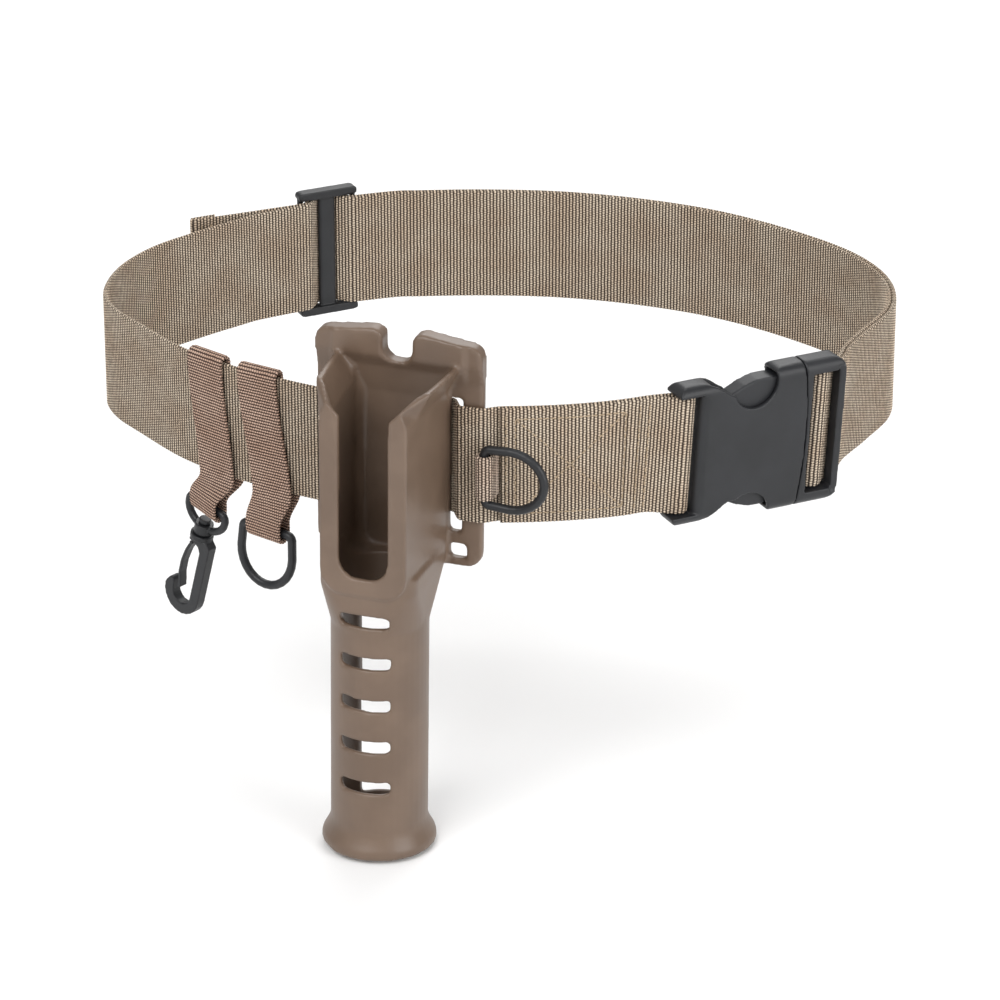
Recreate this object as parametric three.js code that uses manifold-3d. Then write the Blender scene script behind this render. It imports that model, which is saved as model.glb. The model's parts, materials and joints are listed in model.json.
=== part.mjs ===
// Fishing fighting belt: a webbing waist belt with a moulded rod holder, a side-release buckle,
// a slide adjuster, a side ring, and two hanging loops that carry a swivel hook and a ring.
// Millimetres, +Z up. The origin is the middle of the waist loop at half the webbing's height.
// +X is to the right as the belt is seen from the front, and the front is at -Y.

import * as THREE from 'three';
import { mergeVertices } from 'three/addons/utils/BufferGeometryUtils.js';
import Module from 'manifold-3d';

const wasm = await Module();
wasm.setup();

const deg = Math.PI / 180;

// Belt webbing
const webWide = 50;
const webThick = 1.7;
const layerGap = 0.4;
const clear = 0.3;
const tailLong = 50;
const hemLong = 10;

// Waist loop in plan
const loopHalfWide = 167;
const loopHalfDeep = 124;

// Rod holder
const holderTurn = -19 * deg;
const holderLean = 0.8 * deg;
const plateHalfWide = 35.4;
const plateTop = 54.4;
const plateBottom = -46;
const plateThick = 4;
const plateCorner = 7;
const headThick = 8;
const headSideThick = 6.8;
const headHalfWide = 28;
const headLow = 43;
const topCornerRound = 5.5;
const topCornerPlace = 46.1;
const holderWall = 2.8;
const boxHalfBack = 20.6;
const boxHalfFront = 18.3;
const boxDeep = 47;
const boxBottom = -45;
const boxShoulder = 31.8;
const boxCorner = 10;
const flareHalfBack = 27;
const flareHalfFront = 24;
const mouthHalfWide = 10.4;
const mouthBottom = -37.7;
const mouthCorner = 8;
const notchHalfWide = 6.3;
const notchBottom = 40.8;
const notchRound = 4;
const slotWide = 5.5;
const slotTop = 27.6;
const slotBottom = -31;
const windowWide = 7.5;
const windowTall = 6.4;
const windowGap = 5.2;
const tubeOuter = 20;
const tubeWall = 2.6;
const tubeBottom = -163;
const tubeTop = -62;
const tubeSetOut = 26;
const flareOuter = 23.6;
const flareTall = 11;
const ventHalfWide = 10.4;
const ventTall = 5.2;
const ventPitch = 18.7;
const ventFirst = -54.2;
const ventCount = 5;
const backGapHalfWide = 13;

// Side-release buckle
const buckleTurn = 26 * deg;
const buckleHalfTall = 31.5;
const buckleHalfThick = 6.5;
const buckleSkew = Math.tan(3.6 * deg);
const skewStart = -45;
const skewFull = -14;
const skewLast = 73;
const skewEnd = 99;
const hornReach = 5.1;
const hornHalfTall = 30.1;
const hornEnd = 12;
const socketBar = 2.2;
const socketGap = 2.6;
const socketStart = 2.2;
const socketEdge = 3.6;
const socketLong = 51.4;
const jointBow = 2.6;
const socketWall = 2.2;
const groovePlace = 4.2;
const grooveRound = 1.3;
const grooveDeep = 0.55;
const scallopPlace = 26.8;
const scallopRound = 9.9;
const scallopTopDeep = 15.2;
const scallopLowDeep = 10.7;
const plugBase = 1.5;
const plugLong = 17.2;
const plugCorner = 7;
const plugBar = 2.2;
const plugBarPlace = 7.1;
const endBar = 1.6;

// Slide adjuster
const adjusterTurn = 25.6 * deg;
const adjusterWide = 27.8;
const adjusterTall = 58.4;
const adjusterThick = 2.8;
const adjusterCapThick = 5.4;
const adjusterMidBar = 8;

// Rings, hook and their narrow webbing
const narrowWide = 19;
const narrowThick = 1.4;
const hangerClear = 0.9;
const ringWire = 1.9;
const ringHalfWide = 12.6;
const ringLong = 25.6;
const eyeDrop = 41.7;
const ringDrop = 43.7;
const sideRingTurn = 22 * deg;
const sideTabDrop = 2.5;
const eyeWire = 1.7;
const eyeHalfWide = 10.4;
const hookLean = 16 * deg;
const ringLean = 4 * deg;
const pinRound = 1.4;
const pinHeadRound = 2.6;
const pinHeadTall = 2;
const bossRound = 4;
const bossTall = 4.6;
const collarRound = 5;
const collarTall = 2.3;
const hookThick = 4.6;
const hookBendOuter = 9.6;
const hookBendInner = 4.8;
const hookLong = 40;
const gateThick = 1.3;
const gateLong = 24;

const colours = {
  webbing: 0x97836f,
  narrow: 0x8d7461,
  moulding: 0x74604f,
  black: 0x2b2d2f,
};
const finish = {
  webbing: new THREE.MeshStandardMaterial({ color: colours.webbing, roughness: 0.9, metalness: 0 }),
  narrow: new THREE.MeshStandardMaterial({ color: colours.narrow, roughness: 0.92, metalness: 0 }),
  moulding: new THREE.MeshStandardMaterial({ color: colours.moulding, roughness: 0.5, metalness: 0 }),
  black: new THREE.MeshStandardMaterial({ color: colours.black, roughness: 0.45, metalness: 0 }),
};

// Solids

function solid(geometry) {
  const bare = geometry.clone();
  bare.deleteAttribute('normal');
  bare.deleteAttribute('uv');
  const joined = mergeVertices(bare, 1e-4);
  return new wasm.Manifold(new wasm.Mesh({
    numProp: 3,
    vertProperties: new Float32Array(joined.attributes.position.array),
    triVerts: new Uint32Array(joined.index.array),
  }));
}

function geometryOf(body) {
  const mesh = body.getMesh();
  const geometry = new THREE.BufferGeometry();
  geometry.setAttribute('position', new THREE.BufferAttribute(mesh.vertProperties, 3));
  geometry.setIndex(new THREE.BufferAttribute(mesh.triVerts, 1));
  geometry.computeVertexNormals();
  return geometry;
}

function joinAll(bodies) {
  return bodies.reduce((whole, body) => whole.add(body));
}

function cutAll(body, cutters) {
  return cutters.reduce((rest, cutter) => rest.subtract(cutter), body);
}

function box(x0, x1, y0, y1, z0, z1) {
  const geometry = new THREE.BoxGeometry(x1 - x0, y1 - y0, z1 - z0);
  geometry.translate((x0 + x1) / 2, (y0 + y1) / 2, (z0 + z1) / 2);
  return solid(geometry);
}

// An outline drawn as seen from the front (x to the right, y up), from out0 to out1 towards the front
function frontSlab(outline, out0, out1) {
  const geometry = new THREE.ExtrudeGeometry(outline, { depth: out1 - out0, bevelEnabled: false });
  geometry.translate(0, 0, out0);
  geometry.rotateX(Math.PI / 2);
  return solid(geometry);
}

// An outline drawn as seen from the left side (x towards the front, y up), from x0 to x1
function sideSlab(outline, x0, x1) {
  const geometry = new THREE.ExtrudeGeometry(outline, { depth: x1 - x0, bevelEnabled: false });
  geometry.translate(0, 0, -x1);
  geometry.applyMatrix4(new THREE.Matrix4().set(0, 0, -1, 0, -1, 0, 0, 0, 0, 1, 0, 0, 0, 0, 0, 1));
  return solid(geometry);
}

// An outline drawn in plan, from z0 up to z1
function uprightSlab(outline, z0, z1) {
  const geometry = new THREE.ExtrudeGeometry(outline, { depth: z1 - z0, bevelEnabled: false });
  geometry.translate(0, 0, z0);
  return solid(geometry);
}

function outlineOf(points) {
  return new THREE.Shape(points.map(([x, y]) => new THREE.Vector2(x, y)));
}

function roundedBox(x0, x1, y0, y1, round, steps = 5) {
  const points = [];
  const corners = [
    [x1 - round, y0 + round, -90],
    [x1 - round, y1 - round, 0],
    [x0 + round, y1 - round, 90],
    [x0 + round, y0 + round, 180],
  ];
  for (const [x, y, start] of corners) {
    for (let i = 0; i <= steps; i += 1) {
      const angle = (start + 90 * i / steps) * deg;
      points.push([x + round * Math.cos(angle), y + round * Math.sin(angle)]);
    }
  }
  return points;
}

// A cylinder about the vertical through (x, y)
function post(round, z0, z1, x = 0, y = 0, sides = 32) {
  const geometry = new THREE.CylinderGeometry(round, round, z1 - z0, sides);
  geometry.rotateX(Math.PI / 2);
  geometry.translate(x, y, (z0 + z1) / 2);
  return solid(geometry);
}

// A closed body through rings of points that all have the same count
function loft(rings) {
  const count = rings[0].length;
  const places = rings.flat().flatMap((p) => [p.x, p.y, p.z]);
  const faces = [];
  for (let ring = 0; ring < rings.length - 1; ring += 1) {
    for (let i = 0; i < count; i += 1) {
      const a = ring * count + i;
      const b = ring * count + (i + 1) % count;
      faces.push([a, b, b + count], [a, b + count, a + count]);
    }
  }
  faces.push(...lid(rings[0], 0, -1), ...lid(rings.at(-1), (rings.length - 1) * count, 1));
  if (volumeOf(rings.flat(), faces) < 0) {
    faces.forEach((face) => face.reverse());
  }
  const geometry = new THREE.BufferGeometry();
  geometry.setAttribute('position', new THREE.BufferAttribute(new Float32Array(places), 3));
  geometry.setIndex(faces.flat());
  return geometry;
}

// The triangles that close a ring; along = 1 follows the ring's own order, -1 runs against it
function lid(ring, start, along) {
  const facing = ring.reduce((sum, p, i) => {
    const q = ring[(i + 1) % ring.length];
    return sum.add(new THREE.Vector3().crossVectors(p, q));
  }, new THREE.Vector3());
  const size = [Math.abs(facing.x), Math.abs(facing.y), Math.abs(facing.z)];
  const [u, v] = [['y', 'z'], ['z', 'x'], ['x', 'y']][size.indexOf(Math.max(...size))];
  const flat = ring.map((p) => new THREE.Vector2(p[u], p[v]));
  const turn = Math.sign(THREE.ShapeUtils.area(flat)) * along;
  return THREE.ShapeUtils.triangulateShape(flat, []).map((face) => {
    const rightWay = Math.sign(THREE.ShapeUtils.area(face.map((i) => flat[i]))) === turn;
    const [a, b, c] = face.map((i) => i + start);
    return rightWay ? [a, b, c] : [a, c, b];
  });
}

function volumeOf(points, faces) {
  return faces.reduce((sum, [a, b, c]) => {
    const normal = new THREE.Vector3().crossVectors(points[b], points[c]);
    return sum + points[a].dot(normal) / 6;
  }, 0);
}

// Strap routes, in plan. A stop is a post that the strap wraps on the side given, or a bare point.
// Side 1 keeps the post on the left of the strap's way, -1 on the right.

function point(x, y) {
  return { x, y, round: 0, side: 1 };
}

function wrap(place, round, side) {
  return { x: place.x, y: place.y, round, side };
}

// The heading of the straight stretch from one stop to the next
function heading(from, to) {
  const dx = to.x - from.x;
  const dy = to.y - from.y;
  const shift = to.side * to.round - from.side * from.round;
  return Math.atan2(dy, dx) - Math.asin(shift / Math.hypot(dx, dy));
}

function touch(stop, way) {
  const reach = stop.side * stop.round;
  return new THREE.Vector2(stop.x + Math.sin(way) * reach, stop.y - Math.cos(way) * reach);
}

function route(stops, stepAngle = 15 * deg) {
  const line = [];
  stops.forEach((stop, i) => {
    const arrive = i > 0 ? heading(stops[i - 1], stop) : heading(stop, stops[1]);
    const leave = i < stops.length - 1 ? heading(stop, stops[i + 1]) : arrive;
    line.push(touch(stop, arrive));
    if (stop.round > 0) {
      let sweep = (leave - arrive) * stop.side;
      sweep -= 2 * Math.PI * Math.floor((sweep + Math.PI / 2) / (2 * Math.PI));
      const steps = Math.max(0, Math.round(sweep / stepAngle));
      for (let k = 1; k < steps; k += 1) {
        line.push(touch(stop, arrive + stop.side * sweep * k / steps));
      }
      line.push(touch(stop, leave));
    }
  });
  return line.filter((p, i) => i === 0 || p.distanceTo(line[i - 1]) > 0.2);
}

// A smooth line through stations, moved to the left of its way by setOff
function smooth(stations, stepLong, setOff) {
  const curve = new THREE.CatmullRomCurve3(
    stations.map(({ x, y }) => new THREE.Vector3(x, y, 0)), false, 'centripetal');
  const steps = Math.round(curve.getLength() / stepLong);
  const stops = [];
  for (let i = 0; i <= steps; i += 1) {
    const p = curve.getPointAt(i / steps);
    const way = curve.getTangentAt(i / steps);
    stops.push(point(p.x - way.y * setOff, p.y + way.x * setOff));
  }
  return stops;
}

// A band of even thickness along a middle line; the line may close on itself
function bandSides(line, thick, closed = false) {
  const count = line.length;
  const sides = line.map((p, i) => {
    const before = closed ? line[(i + count - 1) % count] : line[Math.max(i - 1, 0)];
    const after = closed ? line[(i + 1) % count] : line[Math.min(i + 1, count - 1)];
    const first = p.clone().sub(before).normalize();
    const second = after.clone().sub(p).normalize();
    const way = first.clone().add(second).normalize();
    const stretch = Math.max(first.length() ? Math.abs(way.dot(first)) : Math.abs(way.dot(second)), 0.5);
    const reach = thick / 2 / stretch;
    const across = new THREE.Vector2(-way.y * reach, way.x * reach);
    return { left: p.clone().add(across), right: p.clone().sub(across) };
  });
  return { left: sides.map((s) => s.left), right: sides.map((s) => s.right) };
}

function strapGeometry(line, thick, low, high) {
  const { left, right } = bandSides(line, thick);
  const outline = new THREE.Shape([...right, ...left.reverse()]);
  const geometry = new THREE.ExtrudeGeometry(outline, { depth: high - low, bevelEnabled: false });
  geometry.translate(0, 0, low);
  return geometry;
}

// Places along the belt: a frame has x along the belt to the right, y to the back, z up

function placed(name, bodyOrGeometry, material) {
  const geometry = bodyOrGeometry.isBufferGeometry ? bodyOrGeometry : geometryOf(bodyOrGeometry);
  const mesh = new THREE.Mesh(geometry, material);
  mesh.name = name;
  return mesh;
}

function frameAt(x, y, turn) {
  return {
    x,
    y,
    turn,
    at(along, out) {
      return {
        x: x + along * Math.cos(turn) + out * Math.sin(turn),
        y: y + along * Math.sin(turn) - out * Math.cos(turn),
      };
    },
    group() {
      const group = new THREE.Group();
      group.position.set(x, y, 0);
      group.rotation.z = turn;
      return group;
    },
  };
}

const holderFrame = frameAt(-0.234 * loopHalfWide, -0.86 * loopHalfDeep, holderTurn);
const buckleFrame = frameAt(0.449 * loopHalfWide, -0.881 * loopHalfDeep, buckleTurn);
const adjusterFrame = frameAt(-0.461 * loopHalfWide, 0.911 * loopHalfDeep, adjusterTurn);

// Stations of the loop as shares of its half width and half depth
const rightStations = [
  { across: -0.27, back: 0.972 },
  { across: -0.05, back: 0.985 },
  { across: 0.16, back: 0.965 },
  { across: 0.37, back: 0.893 },
  { across: 0.575, back: 0.768 },
  { across: 0.775, back: 0.56 },
  { across: 0.915, back: 0.345 },
  { across: 0.98, back: 0.12 },
  { across: 0.976, back: -0.115 },
  { across: 0.905, back: -0.32 },
  { across: 0.845, back: -0.475 },
];
const leftStations = [
  { across: -0.648, back: 0.735 },
  { across: -0.78, back: 0.585 },
  { across: -0.9, back: 0.42 },
  { across: -0.975, back: 0.22 },
  { across: -0.995, back: 0 },
  { across: -0.965, back: -0.13 },
  { across: -0.9, back: -0.262 },
  { across: -0.775, back: -0.487 },
  { across: -0.635, back: -0.652 },
  { across: -0.5, back: -0.768 },
];
const frontStations = [
  { across: 0, back: -0.975 },
  { across: 0.095, back: -0.968 },
  { across: 0.19, back: -0.951 },
  { across: 0.285, back: -0.921 },
  { across: 0.355, back: -0.887 },
];

function stationPlaces(table) {
  return table.map(({ across, back }) => ({ x: across * loopHalfWide, y: back * loopHalfDeep }));
}

const layerPitch = webThick + layerGap;
const strapStep = 9;

// Posts of the slide adjuster, from its left outer bar to its right one
const adjusterBarPlace = (adjusterWide - adjusterThick) / 2;
const adjusterMidPlace = (adjusterMidBar - adjusterThick) / 2;
const adjusterNear = adjusterThick / 2 + clear + webThick / 2;

function adjusterStops(outward) {
  const overEnds = outward ? adjusterNear : adjusterNear + layerPitch;
  const underMid = outward ? adjusterNear + layerPitch : adjusterNear;
  return [
    wrap(adjusterFrame.at(-adjusterBarPlace, 0), overEnds, 1),
    wrap(adjusterFrame.at(-adjusterMidPlace, 0), underMid, -1),
    wrap(adjusterFrame.at(adjusterMidPlace, 0), underMid, -1),
    wrap(adjusterFrame.at(adjusterBarPlace, 0), overEnds, 1),
  ];
}

// The same stops, run the other way
function turnedBack(stops) {
  return stops.map((stop) => ({ ...stop, side: -stop.side })).reverse();
}

const plugStart = socketLong + clear;
const plugBarAlong = plugStart + plugBarPlace;
const endBarAlong = plugStart + plugLong - endBar;
const barWrap = plugBar + clear + webThick / 2;
const endBarNear = endBar + clear + webThick / 2;
const socketBarAlong = -socketGap;
const slotIn = boxHalfBack + 0.4;
const slotOut = slotIn + slotWide;
const holderEdge = 0.5;
const holderClear = 0.6;
const edgeWrap = holderEdge + holderClear + webThick / 2;

function beltStops() {
  const tail = [
    point(...Object.values(adjusterFrame.at(-adjusterBarPlace - tailLong + hemLong, -layerPitch))),
    wrap(adjusterFrame.at(-adjusterBarPlace - tailLong, -layerPitch / 2), layerPitch / 2, 1),
  ];
  const rightEnd = [
    buckleFrame.at(endBarAlong + 2.8, -endBarNear - layerPitch / 2 - 1),
    buckleFrame.at(endBarAlong, -endBarNear - layerPitch / 2),
  ];
  const rightPlaces = [...stationPlaces(rightStations), ...rightEnd];
  const outerLayer = smooth(rightPlaces, strapStep, layerPitch / 2);
  const innerLayer = smooth(rightPlaces, strapStep, -layerPitch / 2).reverse();
  const plug = [
    wrap(buckleFrame.at(endBarAlong, 0), endBarNear, 1),
    wrap(buckleFrame.at(plugBarAlong, 0), barWrap, -1),
  ];
  const left = smooth(stationPlaces(leftStations), strapStep, 0);
  const edge = (along, out, side) => wrap(holderFrame.at(along, out), edgeWrap, side);
  const holder = [
    edge(-plateHalfWide + holderEdge, plateThick - holderEdge, 1),
    edge(-slotOut - holderEdge, plateThick - holderEdge, 1),
    edge(-slotIn + holderEdge, holderEdge, -1),
    edge(slotIn - holderEdge, holderEdge, -1),
    edge(slotOut + holderEdge, plateThick - holderEdge, 1),
    edge(plateHalfWide - holderEdge, plateThick - holderEdge, 1),
  ];
  const front = stationPlaces(frontStations);
  const socket = [wrap(buckleFrame.at(socketBarAlong, 0), socketBar + clear + webThick / 2, -1)];
  const fold = smooth(front, strapStep, -layerPitch).reverse();
  return [
    ...tail,
    ...adjusterStops(true),
    ...outerLayer,
    ...plug,
    ...innerLayer,
    ...turnedBack(adjusterStops(false)),
    ...left,
    ...holder,
    ...smooth(front, strapStep, 0),
    ...socket,
    ...fold,
  ];
}

// The buckle stands a little askew: what is higher on it lies further along the belt. The strap
// follows it, and comes upright again on both sides.
function skewedPlace({ x, y }, z) {
  const along = (x - buckleFrame.x) * Math.cos(buckleTurn) + (y - buckleFrame.y) * Math.sin(buckleTurn);
  const grow = THREE.MathUtils.smoothstep(along, skewStart, skewFull);
  const wane = THREE.MathUtils.smoothstep(along, skewLast, skewEnd);
  const shift = y < 0 ? grow * (1 - wane) * buckleSkew * z : 0;
  return new THREE.Vector3(x + shift * Math.cos(buckleTurn), y + shift * Math.sin(buckleTurn), z);
}

function beltGeometry() {
  const { left, right } = bandSides(route(beltStops()), webThick);
  const outline = [...right, ...left.reverse()];
  const edge = (z) => outline.map((place) => skewedPlace(place, z));
  return loft([edge(-webWide / 2), edge(webWide / 2)]);
}

const belt = placed('belt_webbing', beltGeometry(), finish.webbing);

// Rod holder, in its own frame: the plate's back face is at y = 0

function boxOutline({ half, topHalf, shoulder, top, lip, bottom, round }) {
  const points = [];
  for (const [side, start] of [[-1, 180], [1, 270]]) {
    for (let i = 0; i <= 5; i += 1) {
      const angle = (start + 18 * i) * deg;
      points.push([side * (half - round) + round * Math.cos(angle), bottom + round + round * Math.sin(angle)]);
    }
  }
  points.push([half, shoulder], [topHalf, top], [topHalf, lip]);
  points.push([-topHalf, lip], [-topHalf, top], [-half, shoulder]);
  return points;
}

function boxBody(rows) {
  return solid(loft(rows.map((row) => boxOutline(row).map(([x, z]) => new THREE.Vector3(x, -row.out, z)))));
}

// Sections of the box from the plate to the front, with depths as shares of the box's depth
function boxRows() {
  const flareTop = headLow - 0.6;
  const frontFlare = 0.75;
  const halfAt = (share) => boxHalfBack + (boxHalfFront - boxHalfBack) * share;
  const plain = { bottom: boxBottom, round: boxCorner, shoulder: boxShoulder - 1 };
  return [
    { ...plain, out: plateThick / 2, half: boxHalfBack, topHalf: flareHalfBack, top: flareTop, lip: headLow },
    { ...plain, out: boxDeep * frontFlare, half: halfAt(frontFlare), topHalf: flareHalfFront,
      top: flareTop - 1, lip: headLow - 1 },
    { ...plain, out: boxDeep, half: boxHalfFront, topHalf: boxHalfFront - 2.7, top: boxShoulder + 5,
      lip: boxShoulder + 5.4 },
  ];
}

// The hollow inside the box: a scoop under the head, open at the top
function hollowRows() {
  const open = plateTop + 10;
  const scoop = [
    { share: 0, half: 0.86, topHalf: 0.6, shoulder: 0.4, top: 0.6 },
    { share: 0.5, half: 0.98, topHalf: 0.8, shoulder: 0.8, top: 0.88 },
    { share: 1, half: 1, topHalf: 1, shoulder: 1, top: 1 },
  ];
  const start = plateThick - 0.8;
  const [back, middle, front] = boxRows();
  const inner = (row, out) => ({
    ...row, out, half: row.half - holderWall, topHalf: row.topHalf - holderWall,
    bottom: boxBottom + holderWall, round: boxCorner - holderWall, lip: open,
  });
  const scoopRows = scoop.map(({ share, half, topHalf, shoulder, top }) => {
    const row = inner(back, start + (headThick - start) * share);
    return { ...row, half: row.half * half, topHalf: row.topHalf * topHalf, shoulder: row.shoulder * shoulder,
      top: row.top * top, lip: row.top * top + 0.4 };
  });
  return [
    ...scoopRows,
    inner(back, headThick + 0.2),
    inner(middle, middle.out - 0.8),
    inner(front, boxDeep - holderWall),
  ];
}

function plateOutline() {
  const right = [];
  for (let i = 0; i <= 5; i += 1) {
    const angle = 82 * deg * i / 5;
    right.push([
      plateHalfWide + topCornerRound * (Math.cos(angle) - 1),
      topCornerPlace + topCornerRound * Math.sin(angle),
    ]);
  }
  right.push([plateHalfWide / 4, plateTop]);
  const low = roundedBox(-plateHalfWide, plateHalfWide, plateBottom, plateTop, plateCorner, 4)
    .filter(([, z]) => z < plateBottom + plateCorner + 0.01);
  const lowRight = low.filter(([x]) => x > 0);
  const lowLeft = low.filter(([x]) => x < 0);
  return outlineOf([...lowLeft, ...lowRight, ...right, ...right.map(([x, z]) => [-x, z]).reverse()]);
}

function tubeBody(round, low, high, flare) {
  const shape = [[0, 0], [0.97, 0], [1, 0.13], [0.94, 0.3], [0.5, 0.55], [0.15, 0.8], [0, 1]];
  const profile = [new THREE.Vector2(0, low), ...shape.slice(1).map(([grow, up]) => (
    new THREE.Vector2(round + (flare - round) * grow, low + flareTall * up))),
  new THREE.Vector2(round, high), new THREE.Vector2(0, high)];
  const geometry = new THREE.LatheGeometry(profile, 40);
  geometry.rotateX(Math.PI / 2);
  geometry.translate(0, -tubeSetOut, 0);
  return solid(geometry);
}

// The neck runs from the box's square section to the round tube
function neckBody() {
  const steps = 9;
  const top = roundedBox(-boxHalfBack, boxHalfBack, -boxDeep + 1.2, -0.2, 8, steps);
  const round = tubeOuter * 0.985;
  const low = roundedBox(-round, round, -tubeSetOut - round, -tubeSetOut + round, round, steps);
  const ring = (points, z) => points.map(([x, y]) => new THREE.Vector3(x, y, z));
  return solid(loft([ring(top, boxBottom + 8), ring(top, boxBottom + 1), ring(low, tubeTop - 2)]));
}

// The thick head across the top of the plate, with its lower side sloped back to the plate
function headBlock(half, thick) {
  const slopeTall = 11;
  const start = 0.5;
  const profile = outlineOf([
    [start, headLow - slopeTall], [plateThick - start, headLow - slopeTall], [thick, headLow],
    [thick, plateTop - 1.5], [thick - 2, plateTop + 1], [start, plateTop + 1],
  ]);
  return sideSlab(profile, -half, half).intersect(frontSlab(plateOutline(), 0, thick + 1));
}

// The notch in the head, with rounded corners where it opens at the top
function notchOutline() {
  const above = plateTop + 10;
  const low = roundedBox(-notchHalfWide, notchHalfWide, notchBottom, above, notchHalfWide - 1)
    .filter(([, z]) => z < above - notchHalfWide);
  const right = [];
  for (let i = 0; i <= 4; i += 1) {
    const angle = 22.5 * deg * i;
    right.push([
      notchHalfWide + notchRound * (1 - Math.cos(angle)),
      plateTop - 0.4 + notchRound * (Math.sin(angle) - 1),
    ]);
  }
  right.push([notchHalfWide + notchRound, above]);
  const lowRight = low.filter(([x]) => x > 0);
  const lowLeft = low.filter(([x]) => x < 0);
  return outlineOf([...lowLeft, ...lowRight, ...right, ...right.map(([x, z]) => [-x, z]).reverse()]);
}

// The open front of the box: a slot that widens at the top as far as the walls do
function mouthOutline() {
  const low = roundedBox(-mouthHalfWide, mouthHalfWide, mouthBottom, boxShoulder, mouthCorner, 4)
    .filter(([, z]) => z < mouthBottom + mouthCorner + 0.01);
  const lowRight = low.filter(([x]) => x > 0);
  const lowLeft = low.filter(([x]) => x < 0);
  const topHalf = flareHalfFront - holderWall;
  const above = headLow + 10;
  return outlineOf([...lowLeft, ...lowRight, [mouthHalfWide, boxShoulder], [topHalf, headLow], [topHalf, above],
    [-topHalf, above], [-topHalf, headLow], [-mouthHalfWide, boxShoulder]]);
}

// The belt's slot and the small window below it, at the side given
function sideCuts(side) {
  const across = (from, to) => [Math.min(side * from, side * to), Math.max(side * from, side * to)];
  const windowTop = slotBottom - windowGap;
  const windowIn = slotIn + 0.4;
  const slot = roundedBox(...across(slotIn, slotOut), slotBottom, slotTop, 1, 3);
  const window = roundedBox(...across(windowIn, windowIn + windowWide),
    windowTop - windowTall, windowTop, 1.5, 3);
  return [slot, window].map((outline) => frontSlab(outlineOf(outline), -1, plateThick + 1));
}

function ventCuts() {
  const cuts = [];
  for (let i = 0; i < ventCount; i += 1) {
    const top = ventFirst - i * ventPitch;
    cuts.push(box(-ventHalfWide, ventHalfWide, -tubeSetOut - tubeOuter - 3,
      -tubeSetOut - tubeOuter / 2, top - ventTall, top));
  }
  return cuts;
}

function holderBody() {
  const whole = joinAll([
    frontSlab(plateOutline(), 0, plateThick),
    headBlock(headHalfWide, headThick),
    headBlock(plateHalfWide, headSideThick),
    boxBody(boxRows()),
    neckBody(),
    tubeBody(tubeOuter, tubeBottom, boxBottom + 6, flareOuter),
  ]);
  return cutAll(whole, [
    boxBody(hollowRows()),
    post(tubeOuter - tubeWall, tubeBottom - 1, boxBottom + 15, 0, -tubeSetOut, 40),
    frontSlab(mouthOutline(), boxDeep * 0.72, boxDeep + 4),
    frontSlab(notchOutline(), -1, headThick + 2),
    box(-backGapHalfWide, backGapHalfWide, -tubeSetOut + tubeOuter * 0.35, -1,
      tubeBottom + flareTall, tubeTop - 6),
    ...sideCuts(-1),
    ...sideCuts(1),
    ...ventCuts(),
  ]);
}

const holderGroup = holderFrame.group();
const holder = placed('rod_holder', holderBody(), finish.moulding);
holder.rotation.y = holderLean;
holderGroup.add(holder);

// Buckle, in its own frame: the socket's bar is at the left, the plug's end bar at the right

function buckleBlock(outline) {
  const round = buckleHalfThick * 0.7;
  const stretch = (half, from, to) => (
    sideSlab(outlineOf(roundedBox(-buckleHalfThick, buckleHalfThick, -half, half, round, 5)), from, to));
  return frontSlab(outlineOf(outline), -buckleHalfThick - 1, buckleHalfThick + 1)
    .intersect(stretch(hornHalfTall, -50, hornEnd).add(stretch(buckleHalfTall, hornEnd, 100)));
}

// The bowed joint between socket and plug, from the bottom up
function jointEdge(middle) {
  const points = [];
  for (let i = 0; i <= 8; i += 1) {
    const share = i / 4 - 1;
    points.push([middle - jointBow * share * share, share * buckleHalfTall]);
  }
  return points;
}

// Where the buckle's edge comes down from a horn into the scallop
const hornSlope = [[17.6, 22.8], [14.8, 24.3], [12, 26.4], [9.1, 28.2], [5.5, 29.6], [2, 30.1], [-1, 30.2]];

function scallopCut(side, deep) {
  const middle = buckleHalfTall - deep + scallopRound;
  const through = buckleHalfThick + 1;
  const round = [];
  for (let i = 0; i < 32; i += 1) {
    const angle = 2 * Math.PI * i / 32;
    round.push([scallopPlace + scallopRound * Math.cos(angle), middle + scallopRound * Math.sin(angle)]);
  }
  const high = middle + scallopRound + 2;
  const slopeLow = hornSlope[0][1];
  const slopeEnd = hornSlope.at(-1)[0];
  const above = [...hornSlope, [slopeEnd, high], [scallopPlace, high], [scallopPlace, slopeLow]];
  const far = scallopPlace + scallopRound;
  const corner = [[far - 4, high], [far - 4, buckleHalfTall - 2.4], [far - 1.2, buckleHalfTall - 2],
    [far + 0.2, buckleHalfTall - 0.9], [far + 2, buckleHalfTall - 0.2], [far + 2, high]];
  const cut = joinAll([round, above.reverse(), corner].map((outline) => (
    frontSlab(outlineOf(outline), -through, through))));
  return side > 0 ? cut : cut.mirror([0, 0, 1]);
}

const strapHole = webWide / 2 + 0.8;

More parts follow.
